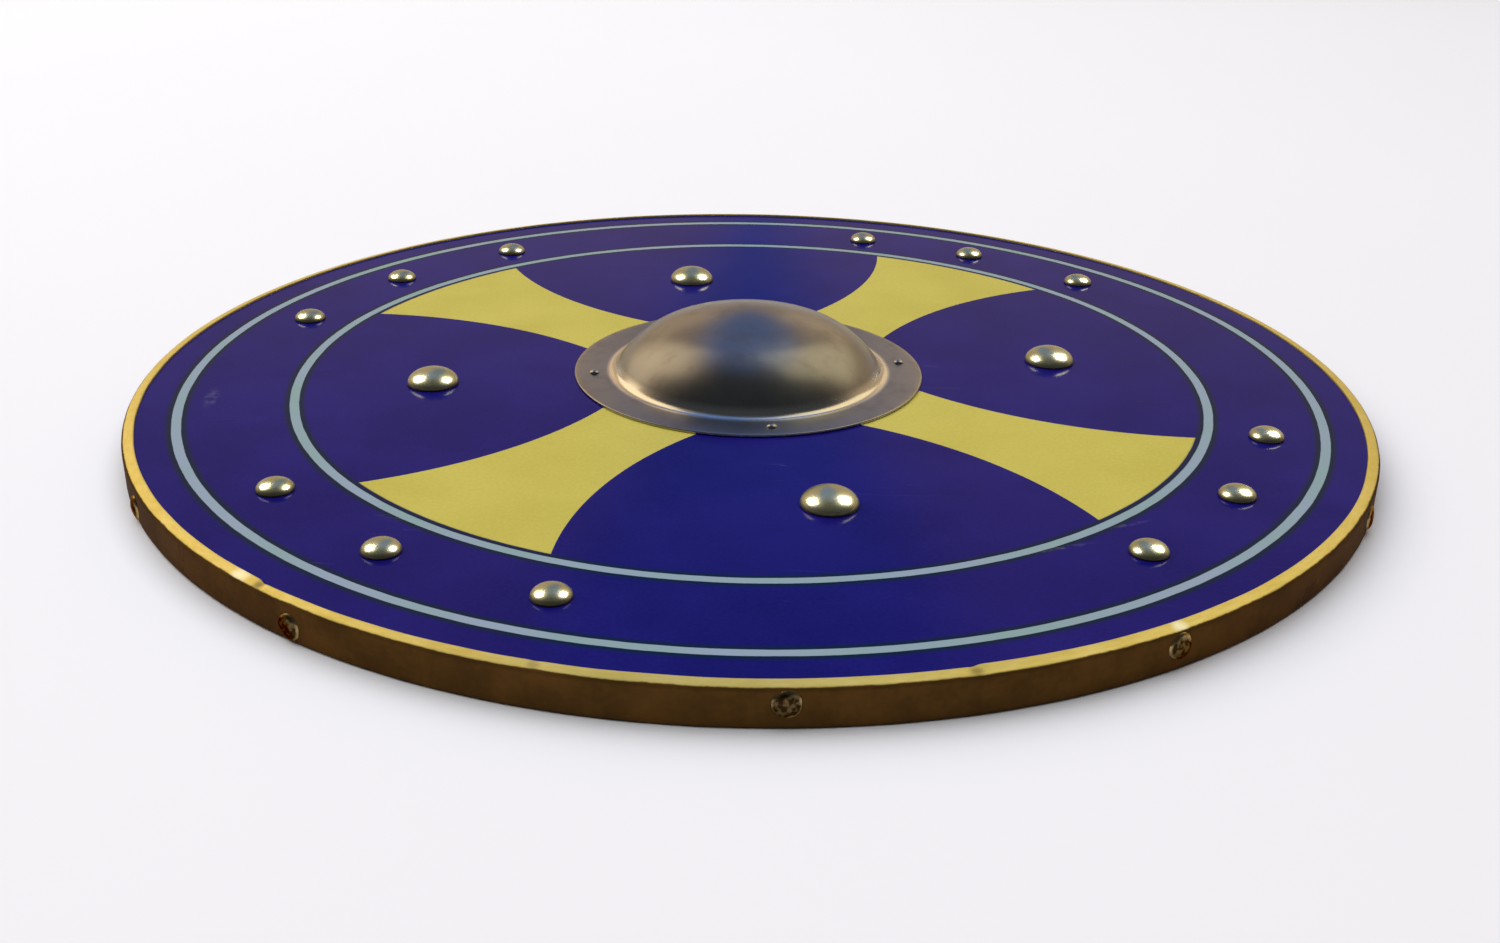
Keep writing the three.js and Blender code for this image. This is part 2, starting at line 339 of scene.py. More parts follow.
cloud = paint.between(paint.noise(0.05, detail=4.0), 0.3, 0.7)
speck = paint.between(paint.noise(0.0016, detail=2.0), 0.25, 0.8)
blue = paint.blend(cloud * 0.6 + speck * 0.4, blue_deep, blue_light)
yellow = paint.blend(cloud * 0.5 + speck * 0.5, yellow_deep, yellow_light)
ring = paint.blend(cloud, ring_blue, ring_green)
colour = paint.blend(outside_lobe * inside_cross, blue, yellow)
colour = paint.blend(on_dark_edge * dark_edge_strength, colour, dark_edge_green)
colour = paint.blend(on_ring, colour, ring)

hairlines = paint.noise(0.02, detail=2.0, place=paint.stretched(0.12, 2.2, 1.0))
patchy = paint.between(paint.noise(0.06), 0.55, 0.7)
scratched = paint.between(abs(hairlines - 0.62), 0.0, 0.004, 1.0, 0.0) * patchy * 0.5
for (scuff_x, scuff_y), direction, half_length, half_width in scuffs:
    run_x = math.cos(math.radians(direction))
    run_y = math.sin(math.radians(direction))
    along_scuff = ((east - scuff_x) * run_x + (north - scuff_y) * run_y) / half_length
    across_scuff = ((north - scuff_y) * run_x - (east - scuff_x) * run_y) / half_width
    inside_scuff = paint.between((along_scuff**2 + across_scuff**2) ** 0.5, 0.2, 1.0, 1.0, 0.0)
    rubbed = inside_scuff * paint.between(paint.noise(0.004, detail=4.0), 0.35, 0.7)
    scratched = paint.sum("MAXIMUM", scratched, rubbed * 0.8)
colour = paint.blend(scratched * 0.2, colour, scratch_pale)
orange_peel = paint.bump(paint.noise(0.0024, detail=2.0), orange_peel_depth)
board_waves = paint.bump(paint.noise(0.05, detail=1.0), board_wave_depth, under=orange_peel)
paint.lay(
    Base_Color=colour,
    Roughness=paint.noise(0.03, detail=5.0) * 0.05 + 0.07 + scratched * 0.2,
    IOR=1.14,
    Normal=board_waves,
)
board.data.materials.append(paint.material)

# Bare plywood: the back of the board, the grip and the walls of the openings. The birch face veneer
# runs along +Y, the way that the grip runs, and the nine plies show as bands wherever it is cut.
ply_count = 9
veneer_pale = shade(206, 176, 132)
veneer_tan = shade(176, 139, 94)
ply_dark = shade(138, 100, 62)
grain_depth = 0.00015
plywood = Finish("bare_birch_plywood")
east, north, height = plywood.axes(0, 0, board_back)
grain_place = plywood.stretched(1.0, 0.07, 1.0)
grain = plywood.between(plywood.noise(0.006, detail=6.0, grit=0.6, place=grain_place), 0.3, 0.7)
broad_grain = plywood.between(plywood.noise(0.05, detail=3.0, place=grain_place), 0.3, 0.7)
wood = plywood.blend(grain * 0.6 + broad_grain * 0.4, veneer_pale, veneer_tan)
ply_wave = plywood.sum("SINE", height * (math.pi * ply_count / (board_face - board_back)))
cut_through = plywood.between(height, 0.0004, 0.0012)
end_grain = plywood.between(ply_wave + (plywood.noise(0.003) - 0.5) * 0.7, -0.2, 0.4, 1.0, 0.0)
wood = plywood.blend(end_grain * cut_through * 0.6, wood, ply_dark)
handled = plywood.between(abs(east) - grip_half_width, 0.0, 0.02, 1.0, 0.0)
near_grip = plywood.between(abs(north), 0.045, 0.085, 1.0, 0.0)
grime = handled * near_grip * plywood.between(plywood.noise(0.02, detail=4.0), 0.2, 0.8)
wood = plywood.blend(grime * 0.35, wood, ply_dark)
pores = plywood.noise(0.0018, detail=4.0, place=plywood.stretched(1.0, 0.05, 1.0))
plywood.lay(
    Base_Color=wood,
    Roughness=plywood.noise(0.02) * 0.15 + 0.5 - grime * 0.12,
    Normal=plywood.bump(pores + end_grain * cut_through * 0.5, grain_depth),
)
board.data.materials.append(plywood.material)
painted = np.array([p.normal.z > 0.9 and p.center.z > board_face - 1e-5 for p in board.data.polygons])
board.data.polygons.foreach_set("material_index", np.where(painted, 0, 1).astype(np.int32))
stand_for(board, "board")

# Brass edging: one strip of brass, folded by hand over the front and back of the rim. Its front lip
# slopes a little outwards to a tight corner, wavers, and is pinched in three places where the strip was
# eased round.
# The lip has the pale colour of brass. The side is painted dark brown as painted shade, the pinches'
# dents carry painted shade, and two near-white painted highlights lie on the lip.
_, edging_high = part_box("brass_edging")
rim_radius = edging_high.x
rim_top = edging_high.z
sheet = 0.00125
lip_width = 0.0056
inner_slope = 11.0
outer_slope = 15.0
corner_radius = 0.0021
back_bend_radius = 0.0018
cut_edge_radius = 0.0004
fold_inset = 0.0019
fold_rise = 0.0012
edging_columns = 1440
side_rows = 7
back_lip_rows = 3
front_waver = 0.00012
front_dip = 0.00005
front_dip_waver = 0.00003
back_waver = 0.0002
back_rise = 0.00008
hammer_marks = 0.00005
hammer_depth = 0.00008
pinch_step_length = 0.0015
pinch_ease_length = 0.12
pinch_dent_length = 0.0022
# Pinches in the front lip: angle in degrees, how far the lip's edge steps in or out there, depth of the
# dent and how strongly the dent is painted towards the side's dark brown, as painted shade
pinches = [(232.5, 0.0011, 0.0006, 0.6), (255.9, 0.0, 0.0002, 0.35), (285.3, -0.0011, 0.0004, 0.5)]
# Painted highlights, almost white, on the front lip: angle in degrees and half length
lip_highlight_places = [(230.2, 0.0065), (301.6, 0.0050)]
edging_random = np.random.default_rng(7)


def wavering(angle, slowest, fastest, size):
    """A closed curve round the rim: waves with a whole number of turns, each with its own phase, that
    together are about this large."""
    turns = np.arange(slowest, fastest + 1)
    phase = edging_random.uniform(0, full_circle, len(turns))
    strength = edging_random.uniform(0.4, 1.0, len(turns))
    waves = np.cos(np.outer(angle, turns) + phase) @ strength
    return size * waves / np.linalg.norm(strength) * math.sqrt(2) / 2


def arc(centre, radius, start, end, steps):
    """Points (radius, height) of a circular arc between two angles in degrees."""
    angle = np.radians(np.linspace(start, end, steps + 1))
    return np.stack([centre[0] + radius * np.cos(angle), centre[1] + radius * np.sin(angle)], axis=-1)


def turned_about(profile, columns, centre):
    """A closed profile of (radius, height) points carried once round a vertical axis."""
    angle = np.linspace(0, full_circle, columns, endpoint=False)
    x = centre[0] + profile[:, 0, None] * np.cos(angle)
    y = centre[1] + profile[:, 0, None] * np.sin(angle)
    z = centre[2] + np.repeat(profile[:, 1, None], columns, axis=1)
    return np.stack([x, y, z], axis=-1)


lip_edge = rim_radius - lip_width
cut_line = lip_edge + cut_edge_radius
lean_in = math.radians(inner_slope)
lean_out = math.radians(outer_slope)
lip_end = rim_radius - corner_radius * (1 - math.sin(lean_out))
lip_curve = (lip_end - cut_line) / (math.sin(lean_out) - math.sin(lean_in))
lip_centre = (cut_line - lip_curve * math.sin(lean_in), rim_top - lip_curve * math.cos(lean_in))
front_lip = arc(lip_centre, lip_curve, 90 - inner_slope, 90 - outer_slope, 8)
corner_height = front_lip[-1, 1] - corner_radius * math.cos(lean_out)
front_corner = arc((rim_radius - corner_radius, corner_height), corner_radius, 90 - outer_slope, 0, 7)
side_heights = np.linspace(corner_height, back_bend_radius, side_rows + 2)[1:-1]
side = np.stack([np.full(side_rows, rim_radius), side_heights], axis=-1)
back_line = rim_radius - back_bend_radius
back_bend = arc((back_line, back_bend_radius), back_bend_radius, 0, -90, 6)
back_lip_radii = np.linspace(back_line, cut_line, back_lip_rows + 2)[1:-1]
back_lip = np.stack([back_lip_radii, np.zeros(back_lip_rows)], axis=-1)
wall_radius = rim_radius - sheet
fold_radius = wall_radius - fold_inset
fold_height = sheet + fold_rise
edging_profile = np.concatenate([
    arc((cut_line, rim_top - cut_edge_radius), cut_edge_radius, 180, 90, 4)[:-1],
    front_lip,
    front_corner[1:],
    side,
    back_bend,
    back_lip,
    arc((cut_line, cut_edge_radius), cut_edge_radius, -90, -180, 4),
    [[lip_edge, sheet], [fold_radius, sheet], [wall_radius, fold_height]],
    [[wall_radius, rim_top - fold_height], [fold_radius, rim_top - sheet], [lip_edge, rim_top - sheet]],
])
rim_angles = np.linspace(0, full_circle, edging_columns, endpoint=False)
edging_points = turned_about(edging_profile, edging_columns, (0.0, 0.0, 0.0))
profile_radius = edging_profile[:, 0, None]
profile_height = edging_profile[:, 1, None]
toward_edge = np.clip((lip_end - profile_radius) / (lip_end - lip_edge), 0, 1)
is_front = profile_height > rim_top / 2
shift = wavering(rim_angles, 5, 60, front_waver)
dip = front_dip + wavering(rim_angles, 8, 40, front_dip_waver)
for pinch_angle, step_in, dent, _ in pinches:
    turned = (rim_angles - math.radians(pinch_angle) + math.pi) % full_circle - math.pi
    along_rim = turned * rim_radius
    stepped = 0.5 * (1 + np.tanh(along_rim / pinch_step_length))
    past_pinch = stepped * np.exp(-np.maximum(along_rim, 0) / pinch_ease_length)
    shift = shift + step_in * past_pinch
    dip = dip + dent * np.exp(-((along_rim / pinch_dent_length) ** 2))
shift = np.where(is_front, shift, wavering(rim_angles, 5, 60, back_waver))
dip = np.where(is_front, dip, -back_rise)
outer = profile_radius > rim_radius - corner_radius
hammered = np.minimum(wavering(rim_angles, 24, 90, hammer_marks) - hammer_depth, 0)
new_radius = profile_radius + toward_edge * shift + np.where(outer, hammered, 0)
edging_points[..., 0] *= new_radius / profile_radius
edging_points[..., 1] *= new_radius / profile_radius
thin_side = (profile_height > rim_top - sheet * 0.9) | (profile_height < sheet * 0.9)
edging_points[..., 2] -= np.where(thin_side, toward_edge * dip, 0)
closed_profile = np.concatenate([edging_points, edging_points[:1]])
edging = make_piece("edging_strip", [closed_loops(closed_profile)])

brass_pale = shade(229, 210, 128)
brass_yellow = shade(213, 192, 98)
brass_highlight = shade(252, 246, 206)
brass_side_shade = shade(106, 74, 34)
brass_side_deep_shade = shade(72, 51, 26)
# The side's reflections are tinted dark brown too, as part of its painted shade.
side_glint = shade(120, 76, 34)
lip_glint = shade(255, 246, 222)
brushing_depth = 0.000012
strip = Finish("folded_brass")
east, north, height = strip.axes(0, 0, 0)
radius = (east**2 + north**2) ** 0.5
drawn = strip.join(east / radius * 0.05, north / radius * 0.05, radius + height)
streaks = strip.between(strip.noise(0.0009, detail=4.0, grit=0.6, place=drawn), 0.3, 0.7)
blotches = strip.between(strip.noise(0.018, detail=4.0), 0.3, 0.7)
fine = strip.noise(0.0025, detail=3.0)
lip_colour = strip.blend(blotches * 0.6 + streaks * 0.4, brass_pale, brass_yellow)
# The side is painted in dark browns, a painted shade, with random blotches in it.
shaded_side_colour = strip.blend(blotches * 0.5 + fine * 0.5, brass_side_shade, brass_side_deep_shade)
ragged_height = height + (fine - 0.5) * 0.0004 + (blotches - 0.5) * 0.0002
lip_low = corner_height + corner_radius * math.cos(lean_out)
# This mask is 1 on the lip and falls to 0 down the side along a ragged line; where it falls, the brass
# takes the side's painted shade.
lit_lip = strip.between(ragged_height, lip_low - 0.0005, lip_low - 0.0001)
# Each pinch's dent is painted towards the side's dark brown: painted shade.
for pinch_angle, _, _, pinch_shade in pinches:
    pinch_east = math.cos(math.radians(pinch_angle)) * (rim_radius - lip_width / 2)
    pinch_north = math.sin(math.radians(pinch_angle)) * (rim_radius - lip_width / 2)
    from_pinch = ((east - pinch_east) ** 2 + (north - pinch_north) ** 2) ** 0.5
    lit_lip = lit_lip * strip.between(from_pinch, 0.0005, 0.0038, 1.0 - pinch_shade, 1.0)
# The painted highlights on the lip: near-white, less metallic brass.
lip_highlight = 0.0
for highlight_angle, half_length in lip_highlight_places:
    highlight_east = math.cos(math.radians(highlight_angle)) * (rim_radius - lip_width / 2)
    highlight_north = math.sin(math.radians(highlight_angle)) * (rim_radius - lip_width / 2)
    from_highlight = ((east - highlight_east) ** 2 + (north - highlight_north) ** 2) ** 0.5
    lip_highlight = strip.between(from_highlight, half_length * 0.15, half_length, 1.0, 0.0) + lip_highlight
lip_highlight = lip_highlight * lit_lip * (fine * 0.6 + 0.5)
strip.lay(
    Base_Color=strip.blend(lip_highlight, strip.blend(lit_lip, shaded_side_colour, lip_colour), brass_highlight),
    Metallic=lit_lip * 0.12 + 0.5 - lip_highlight * 0.3,
    Specular_IOR_Level=0.2,
    IOR=1.2,
    Roughness=strip.between(lit_lip, 0.0, 1.0, 0.58, 0.42) + (streaks - 0.5) * 0.06,
    Specular_Tint=strip.blend(lit_lip, side_glint, lip_glint),
    Normal=strip.bump(streaks * 0.5 + fine * 0.5, brushing_depth),
)
edging.data.materials.append(strip.material)
stand_for(edging, "brass_edging")

# Rim nails: soft brass nails driven through the side of the edging, where their low heads were
# beaten down and left dented. Each has its own node, which gives its place and height on the rim.
rim_nail_count = 12
rim_nail_head_radius = 0.0056
rim_nail_head_height = 0.0021
rim_nail_shank_radius = 0.001
rim_nail_length = 0.0135
rim_nail_curl = 0.0004
rim_nail_sink = 0.00025
rim_nail_seat = rim_radius - rim_nail_sink
rim_nail_columns = 40
rim_nail_dents = 2
raggedness = 0.06
nail_brass = shade(186, 160, 110)
nail_tarnish_and_shade = shade(48, 33, 16)
nail_glint = shade(190, 150, 100)
nail_relief = 0.00006
nail_taper = 0.003
head_crease = math.radians(50)
nail_random = np.random.default_rng(23)
# The satin and dull metal, which shows the soft lights of the room
satin_pieces = [edging]


def capped_nail(head_radius, head_height, shank_radius, length, curl):
    """Profile of a nail from the top of its head to its point: half an ellipse, a small curl under its
    rim, a flat underside, a round shank and a tapered point."""
    dome = arc((0, 0), 1, 90, 8, 14) * (head_radius, head_height)
    dome[0, 0] = 0.0
    rim = [[head_radius, curl * 0.5], [head_radius - curl * 0.4, 0.0]]
    shank = [[shank_radius, 0.0], [shank_radius, nail_taper - length], [0.0, -length]]
    return np.concatenate([dome, rim, shank])


def beaten(points, radius, height, dents):
    """Lowers a head round each dent, and flattens what the hammer met."""
    for _ in range(dents):
        spot = nail_random.uniform(-0.75, 0.75, 2) * radius
        size = nail_random.uniform(0.4, 0.7) * radius
        depth = nail_random.uniform(0.08, 0.20) * height
        near = np.exp(-((points[..., 0] - spot[0]) ** 2 + (points[..., 1] - spot[1]) ** 2) / size**2)
        points[..., 2] -= near * depth * (points[..., 2] > 0)
    return points


old_brass = Finish("dented_nail_brass")
tarnish = old_brass.between(old_brass.noise(0.0022, detail=4.0), 0.35, 0.65)
east, north, height = old_brass.axes(0, 0, 0)
# Each head's crown is painted dark brown, a painted shade, with random tarnish over the head.
crown = old_brass.between((east**2 + north**2) ** 0.5 - rim_radius, 0.0003, 0.0011)
old_brass.lay(
    Base_Color=old_brass.blend(crown * 0.8 + tarnish * 0.3, nail_brass, nail_tarnish_and_shade),
    Metallic=1.0,
    Roughness=tarnish * 0.12 + 0.22,
    Specular_Tint=nail_glint,
    Normal=old_brass.bump(old_brass.noise(0.003, detail=2.0), nail_relief),
)
rim_nail_profile = capped_nail(
    rim_nail_head_radius, rim_nail_head_height, rim_nail_shank_radius, rim_nail_length, rim_nail_curl
)
head_rows = slice(1, 16)
round_head = np.linspace(0, full_circle, rim_nail_columns, endpoint=False)
for number in range(1, rim_nail_count + 1):
    node = f"rim_nail_{number:02d}"
    low, high_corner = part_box(node)
    middle = (low + high_corner) / 2
    angle = math.atan2(middle.y, middle.x)
    local = turned_about(rim_nail_profile, rim_nail_columns, (0.0, 0.0, 0.0))
    ragged = 1 - raggedness * nail_random.random() * np.cos(round_head * 3)
    local[head_rows, :, :2] *= ragged[:, None]
    local = beaten(local, rim_nail_head_radius, rim_nail_head_height, rim_nail_dents)
    outward = np.array([math.cos(angle), math.sin(angle), 0.0])
    sideways = np.array([-math.sin(angle), math.cos(angle), 0.0])
    seat = outward * rim_nail_seat + np.array([0.0, 0.0, middle.z])
    placed = seat + local @ np.stack([sideways, np.array([0.0, 0.0, 1.0]), outward])
    nail = make_piece(f"rim_nail_head_{number:02d}", [closed_loops(placed)], crease=head_crease)
    nail.data.materials.append(old_brass.material)
    stand_for(nail, node)
    satin_pieces.append(nail)

# Boss: one dome spun from 1.5 mm steel sheet, hollow behind, with a flat flange. Crown, shoulder and
# fillet are arcs that run into each other, and both sides of the sheet have the same centres.
boss_low, boss_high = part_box("boss")
boss_centre = ((boss_low.x + boss_high.x) / 2, 0.0, board_face)
boss_sheet = 0.0015
flange_radius = boss_high.x - boss_centre[0]
boss_rise = boss_high.z - board_face - boss_sheet
crown_radius = 0.130
crown_angle = 17.5
shoulder_radius = 0.052
fillet_radius = 0.005
flange_edge_radius = 0.0006
boss_columns = 360
flange_rows = 6
dome_swell = 0.00012
flange_swell = 0.00015
foot_ring_inset = 0.0024
steel_deep = shade(142, 141, 140)
steel_light = shade(160, 158, 155)
steel_handled = shade(126, 120, 111)
steel_highlight = shade(234, 230, 220)
steel_wear_and_highlight = shade(190, 186, 176)
spinning_depth = 0.00002


def boss_side(inset):
    """One side of the sheet from the fillet to the top: three arcs that meet in line, each drawn inset
    deeper than the outside."""
    top = boss_sheet + boss_rise
    crown = np.array([0.0, top - crown_radius])
    tilt = 90 - crown_angle
    away = np.array([math.cos(math.radians(tilt)), math.sin(math.radians(tilt))])
    shoulder = crown + (crown_radius - shoulder_radius) * away
    drop = boss_sheet + fillet_radius - shoulder[1]
    reach = shoulder_radius + fillet_radius
    fillet = np.array([shoulder[0] + math.sqrt(reach**2 - drop**2), boss_sheet + fillet_radius])
    lean = math.degrees(math.atan2(drop, fillet[0] - shoulder[0]))
    return np.concatenate([
        arc(fillet, fillet_radius + inset, -90, lean - 180, 10),
        arc(shoulder, shoulder_radius - inset, lean, tilt, 26)[1:],
        arc(crown, crown_radius - inset, tilt, 90, 14)[1:],
    ])


boss_outside = boss_side(0.0)
boss_outside[-1, 0] = 0.0
boss_inside = boss_side(boss_sheet)
boss_inside[-1, 0] = 0.0
edge_line = flange_radius - flange_edge_radius
flange_span = np.linspace(edge_line, boss_outside[0, 0], flange_rows + 2)[1:-1]
boss_profile = np.concatenate([
    boss_inside[::-1],
    [[edge_line, 0.0]],
    arc((edge_line, flange_edge_radius), flange_edge_radius, -90, 0, 3)[1:],
    arc((edge_line, boss_sheet - flange_edge_radius), flange_edge_radius, 0, 90, 4),
    np.stack([flange_span, np.full(flange_rows, boss_sheet)], axis=-1),
    boss_outside,
])
boss_points = turned_about(boss_profile, boss_columns, boss_centre)
boss_turn = np.linspace(0, full_circle, boss_columns, endpoint=False)
on_dome = np.clip((boss_outside[0, 0] - boss_profile[:, 0, None]) / boss_outside[0, 0], 0, 1)
uneven = 0.6 * np.cos(2 * boss_turn + 0.6) + 0.4 * np.cos(3 * boss_turn + 2.1)
boss_points[..., 2] += dome_swell * (np.sin(math.pi * on_dome) * uneven)
near_edge = boss_profile[:, 0, None] > flange_radius - 0.002
out_of_round = flange_swell * (np.cos(2 * boss_turn + 1.0) - 1) * near_edge
boss_points[..., 0] += out_of_round * np.cos(boss_turn)
boss_points[..., 1] += out_of_round * np.sin(boss_turn)
boss = make_piece("steel_boss", [closed_loops(boss_points)])

steel = Finish("satin_steel")
east, north, height = steel.axes(boss_centre[0], boss_centre[1], 0)
radius = (east**2 + north**2) ** 0.5
haze = steel.between(steel.noise(0.03, detail=4.0), 0.3, 0.7)
satin = steel.noise(0.0011, detail=3.0, grit=0.7)
spun = steel.noise(0.0012, detail=2.0, place=steel.join(east * 0.03, north * 0.03, radius))
handling = steel.between(steel.noise(0.011, detail=5.0, grit=0.6), 0.45, 0.75)
lines = steel.noise(0.006, detail=1.0, place=steel.stretched(0.15, 2.0, 1.0))
fine_line = steel.between(abs(lines - 0.6), 0.0, 0.006, 1.0, 0.0)
scratch = fine_line * steel.between(steel.noise(0.04), 0.5, 0.65)
steel_colour = steel.blend(haze * 0.6 + satin * 0.4, steel_deep, steel_light)
steel_colour = steel.blend(handling * 0.4, steel_colour, steel_handled)
# A pale ring all round the foot of the dome is a painted highlight, and the steel is smoother there.
from_foot = abs(radius - boss_outside[0, 0] + foot_ring_inset)
foot_highlight = steel.between(from_foot, 0.0015, 0.0042, 1.0, 0.0)
steel_colour = steel.blend(foot_highlight * 0.85, steel_colour, steel_highlight)
# The flange's edge is painted lighter and made smoother: partly wear, partly a painted highlight.
edge_wear_and_highlight = steel.between(radius, flange_radius - 0.0012, flange_radius - 0.0004)
steel_colour = steel.blend(edge_wear_and_highlight * 0.5, steel_colour, steel_wear_and_highlight)
rougher = haze * 0.04 + handling * 0.04 + scratch * 0.1
steel.lay(
    Base_Color=steel_colour,
    Metallic=1.0,
    Roughness=rougher + 0.28 - edge_wear_and_highlight * 0.04 - foot_highlight * 0.1,
    Normal=steel.bump(satin * 0.6 + spun * 0.5 - scratch * 0.4, spinning_depth),
)
boss.data.materials.append(steel.material)
stand_for(boss, "boss")
satin_pieces.append(boss)

# Boss nails: four small bright steel nails with round heads, driven through the flange into the board.
boss_nail_head_radius = 0.0026
boss_nail_head_height = 0.0016
boss_nail_shank_radius = 0.001
boss_nail_length = 0.012
boss_nail_curl = 0.0003
boss_nail_count = 4
boss_nail_columns = 32
nail_bright = shade(204, 206, 205)
nail_dull = shade(134, 132, 128)
nail_dimples = 0.00006
flange_top = board_face + boss_sheet
bright_steel = Finish("nail_steel")
bright_steel.lay(
    Base_Color=bright_steel.blend(bright_steel.noise(0.0012), nail_bright, nail_dull),
    Metallic=1.0,
    Roughness=bright_steel.noise(0.0015) * 0.15 + 0.16,
    Normal=bright_steel.bump(bright_steel.noise(0.001, detail=2.0), nail_dimples),
)
boss_nail_profile = capped_nail(
    boss_nail_head_radius,
    boss_nail_head_height,
    boss_nail_shank_radius,
    boss_nail_length,
    boss_nail_curl,
)
for number in range(1, boss_nail_count + 1):
    low, high_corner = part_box(f"boss_nail_{number}")
    middle = (low + high_corner) / 2
    seat = (middle.x, middle.y, flange_top)
    nail = make_piece(
        f"boss_nail_head_{number}",
        [closed_loops(turned_about(boss_nail_profile, boss_nail_columns, seat))],
        crease=head_crease,
    )
    nail.data.materials.append(bright_steel.material)
    stand_for(nail, f"boss_nail_{number}")
    satin_pieces.append(nail)

# Studs: domes pressed from pale brass sheet and polished, each open underneath, with a nail fixed
# inside it. Four large ones stand in the blue gaps of the cross, and twelve small ones outside it.
rim_curl = 0.0003
stud_light = shade(202, 200, 164)
stud_deep = shade(182, 179, 136)
stud_pits_and_shade = shade(88, 72, 42)
stud_waves = 0.00002
# Kind, digits of its number, how many, columns, then in metres the radius and height of the dome, its
# wall, the radius of the shank and the length of the nail
stud_kinds = [
    ("large_stud", "{:d}", 4, 72, (0.01275, 0.0079, 0.001, 0.0015, 0.012)),
    ("small_stud", "{:02d}", 12, 60, (0.00825, 0.0051, 0.0008, 0.0012, 0.011)),
]
# The pieces that are smooth enough to show the two lamps
glossy_pieces = [board]


def stud_profile(head_radius, head_height, wall_thickness, shank_radius, length):
    """Profile from the top of the dome to the nail's point: half an ellipse, a rim that curls in a
    little where it sits on the board, a smaller ellipse back up inside to the shank, and the shank."""
    dome = arc((0, 0), 1, 90, 0, 22) * (head_radius, head_height - rim_curl) + (0, rim_curl)
    dome[0, 0] = 0.0
    inside = (head_radius - wall_thickness, head_height - wall_thickness)
    shank_turn = math.degrees(math.acos(shank_radius / inside[0]))
    hollow = arc((0, 0), 1, 0, shank_turn, 10) * inside
    shank = [[shank_radius, nail_taper - length], [0.0, -length]]
    return np.concatenate([dome, [[head_radius - rim_curl, 0.0]], hollow, shank])


pale_brass = Finish("polished_pale_brass")
clouding = pale_brass.between(pale_brass.noise(0.007, detail=4.0), 0.3, 0.7)
pitting = pale_brass.between(pale_brass.noise(0.0012, detail=3.0), 0.6, 0.75)
_, _, height = pale_brass.axes(0, 0, board_face)
# Each stud is painted darker towards the board, as painted shade, and is rougher there; small pits
# darken it a little too.
shade_by_the_board = pale_brass.between(height, 0.0003, 0.0036, 1.0, 0.0)
brass_colour = pale_brass.blend(clouding, stud_light, stud_deep)
brass_colour = pale_brass.blend(pitting * 0.12 + shade_by_the_board * 0.8, brass_colour, stud_pits_and_shade)
pale_brass.lay(
    Base_Color=brass_colour,
    Metallic=0.9,
    Roughness=clouding * 0.04 + pitting * 0.01 + shade_by_the_board * 0.08 + 0.24,
    Normal=pale_brass.bump(pale_brass.noise(0.008, detail=0.0), stud_waves),
)
for kind, digits, count, columns, measures in stud_kinds:
    profile = stud_profile(*measures)
    for number in range(1, count + 1):
        name = f"{kind}_" + digits.format(number)
        low, high_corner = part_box(name)
        seat = ((low.x + high_corner.x) / 2, (low.y + high_corner.y) / 2, board_face)
        stud = make_piece(
            name.replace("stud_", "stud_dome_"),
            [closed_loops(turned_about(profile, columns, seat))],
            crease=head_crease,
        )
        stud.data.materials.append(pale_brass.material)
        stand_for(stud, name)
        glossy_pieces.append(stud)

# Floor: plain, pale and matt, wide enough to fill the view.
floor_mesh = bpy.data.meshes.new("floor")
floor_half = 12.0
floor_grey = shade(244, 244, 246)
floor_white = shade(247, 247, 249)
floor_corners = [(x * floor_half, y * floor_half, 0.0) for x, y in ((-1, -1), (1, -1), (1, 1), (-1, 1))]
floor_mesh.from_pydata(floor_corners, [], [(0, 1, 2, 3)])
floor = bpy.data.objects.new("floor", floor_mesh)
bpy.context.scene.collection.objects.link(floor)
pale = Finish("pale_floor")
pale.lay(
    Base_Color=pale.blend(pale.noise(0.6), floor_grey, floor_white),
    Roughness=0.9,
    Specular_IOR_Level=0.1,
)
floor_mesh.materials.append(pale.material)

# Light: a wide soft light overhead that gives no reflections, two pale lamps that glint in the studs
# and the paint, four softer warm lights that the boss, the edging and the nails reflect, and a dim
# room with warm walls at the sides, a cool window between them and a pale horizon.
neutral = (0.99, 0.99, 1.0)
left_pale = (1.0, 0.96, 0.92)
right_pale = (1.0, 0.97, 0.94)
left_warm = (1.0, 0.81, 0.54)
right_warm = (1.0, 0.91, 0.57)
far_left_warm = (1.0, 0.72, 0.46)
far_right_warm = (1.0, 0.78, 0.50)
room_dim = (0.042, 0.048, 0.054, 1.0)
wall_warm = (0.48, 0.35, 0.22, 1.0)
window_cool = (0.12, 0.22, 0.51, 1.0)
horizon_pale = (0.66, 0.63, 0.58, 1.0)


def soft_light(name, place, width, depth, power, colour, reflected_by=()):
    """A rectangular light at a place, turned to face the shield. It lights the surfaces themselves, or
    else it shows only as a reflection, in the pieces given."""
    light = bpy.data.lights.new(name, "AREA")
    light.shape = "RECTANGLE"
    light.size = width
    light.size_y = depth
    light.energy = power
    light.color = colour
    lamp = bpy.data.objects.new(name, light)
    lamp.location = place
    lamp.rotation_euler = (-Vector(place)).to_track_quat("-Z", "Y").to_euler()
    bpy.context.scene.collection.objects.link(lamp)
    if not reflected_by:
        lamp.visible_glossy = False
        return
    lamp.visible_diffuse = False
    mirrors = bpy.data.collections.new(f"{name}_shows_in")
    for piece in reflected_by:
        mirrors.objects.link(piece)
    lamp.light_linking.receiver_collection = mirrors


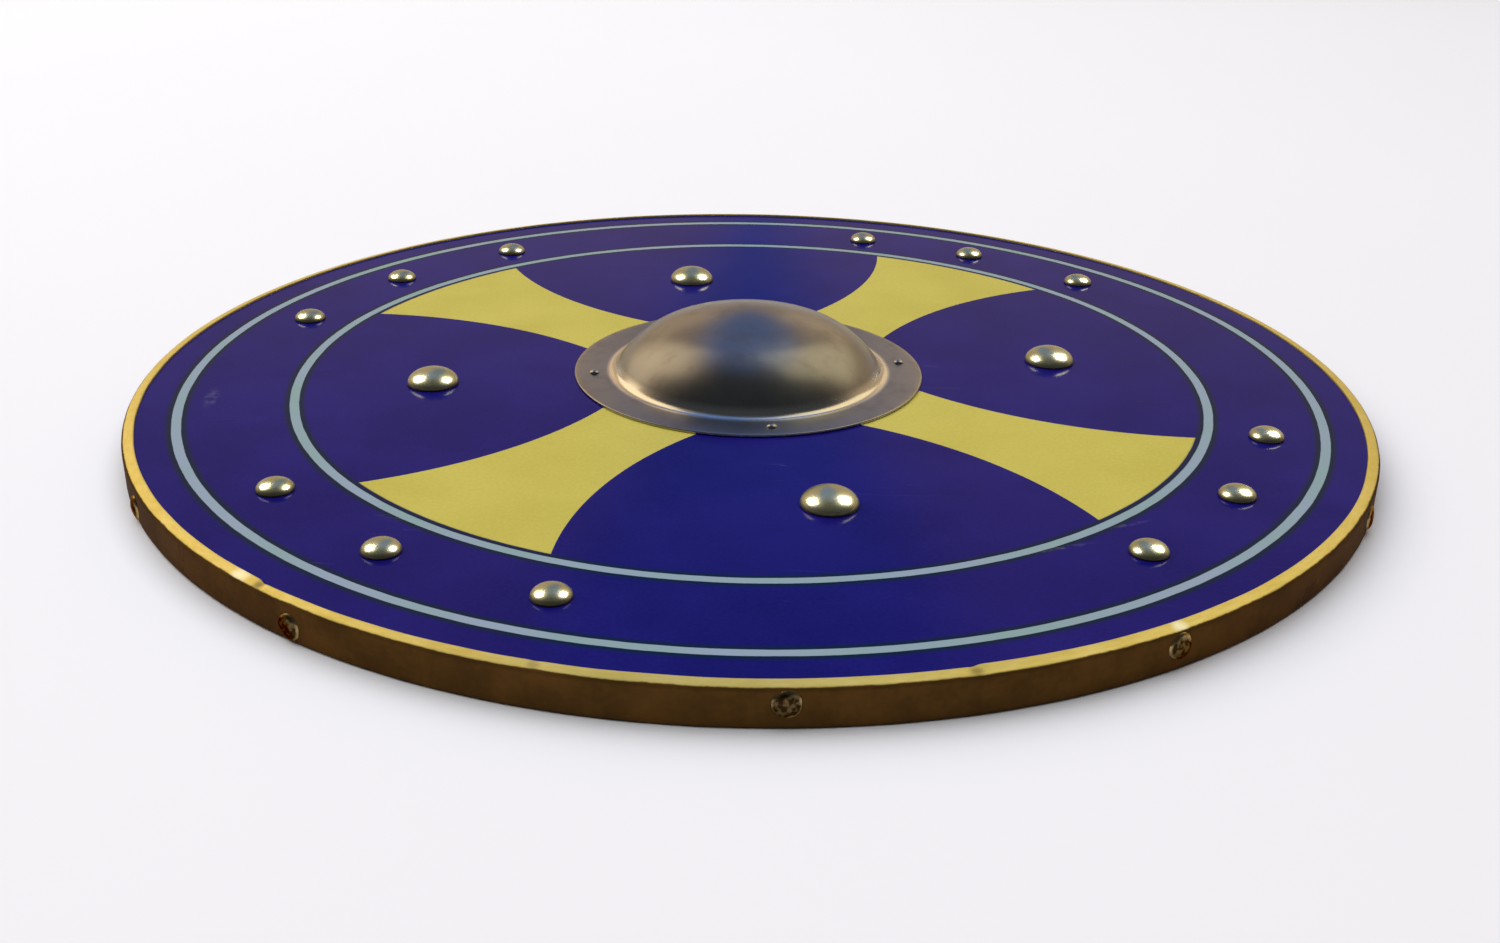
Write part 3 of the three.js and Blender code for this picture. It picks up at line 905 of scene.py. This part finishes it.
soft_light("overhead", (-1.0, 0.8, 3.5), 7.0, 7.0, 264.0, neutral)
soft_light("left_lamp", (-1.51, 0.38, 1.56), 1.1, 1.1, 52.0, left_pale, glossy_pieces)
soft_light("right_lamp", (1.34, 0.54, 1.66), 1.1, 1.1, 58.0, right_pale, glossy_pieces)
soft_light("left_glow", (-1.45, 1.02, 1.28), 1.4, 2.0, 9.0, left_warm, satin_pieces)
soft_light("right_glow", (1.14, 0.86, 1.66), 1.5, 2.0, 7.0, right_warm, satin_pieces)
soft_light("far_left_wall", (-0.85, 2.70, 1.05), 1.1, 0.7, 1.0, far_left_warm, satin_pieces)
soft_light("far_right_wall", (0.85, 2.70, 1.05), 1.1, 0.7, 1.2, far_right_warm, satin_pieces)


class Surroundings(Finish):
    """The light that comes from each direction round the shield, mixed in the same way as a finish."""

    def __init__(self, name):
        self.world = bpy.data.worlds.new(name)
        self.world.use_nodes = True
        self.tree = self.world.node_tree
        self.tree.nodes.clear()
        self.shader = self.tree.nodes.new("ShaderNodeBackground")
        sky = self.tree.nodes.new("ShaderNodeOutputWorld")
        self.tree.links.new(self.shader.outputs["Background"], sky.inputs["Surface"])
        self.place = self.tree.nodes.new("ShaderNodeTexCoord").outputs["Generated"]


room = Surroundings("room")
sideways, beyond, up = room.axes(0, 0, 0)
window = room.between(abs(sideways) - up * 0.5, -0.16, -0.08, 1.0, 0.0)
far_wall = room.blend(window, wall_warm, window_cool)
walls = room.blend(room.between(beyond, -0.15, 0.45), room_dim, far_wall)
horizon = room.between(abs(up), 0.02, 0.12, 0.6, 0.0)
room.lay(Color=room.blend(horizon, walls, horizon_pale))
bpy.context.scene.world = room.world
bpy.context.scene.view_settings.view_transform = "Standard"

# Camera: held low, about three quarters of a metre in front of the middle of the shield, and leaning
# a little to one side.
camera_data = bpy.data.cameras.new("camera")
camera_data.lens = 37.76
camera_data.sensor_width = 36.0
camera_data.clip_start = 0.01
camera_place = (-0.00013, -0.7596, 0.30325)
camera = bpy.data.objects.new("camera", camera_data)
looking_down = math.radians(24.38)
leaning = math.radians(1.125)
camera.matrix_world = (
    Matrix.Translation(camera_place)
    @ Matrix.Rotation(quarter_circle - looking_down, 4, "X")
    @ Matrix.Rotation(leaning, 4, "Z")
)
bpy.context.scene.collection.objects.link(camera)
bpy.context.scene.camera = camera
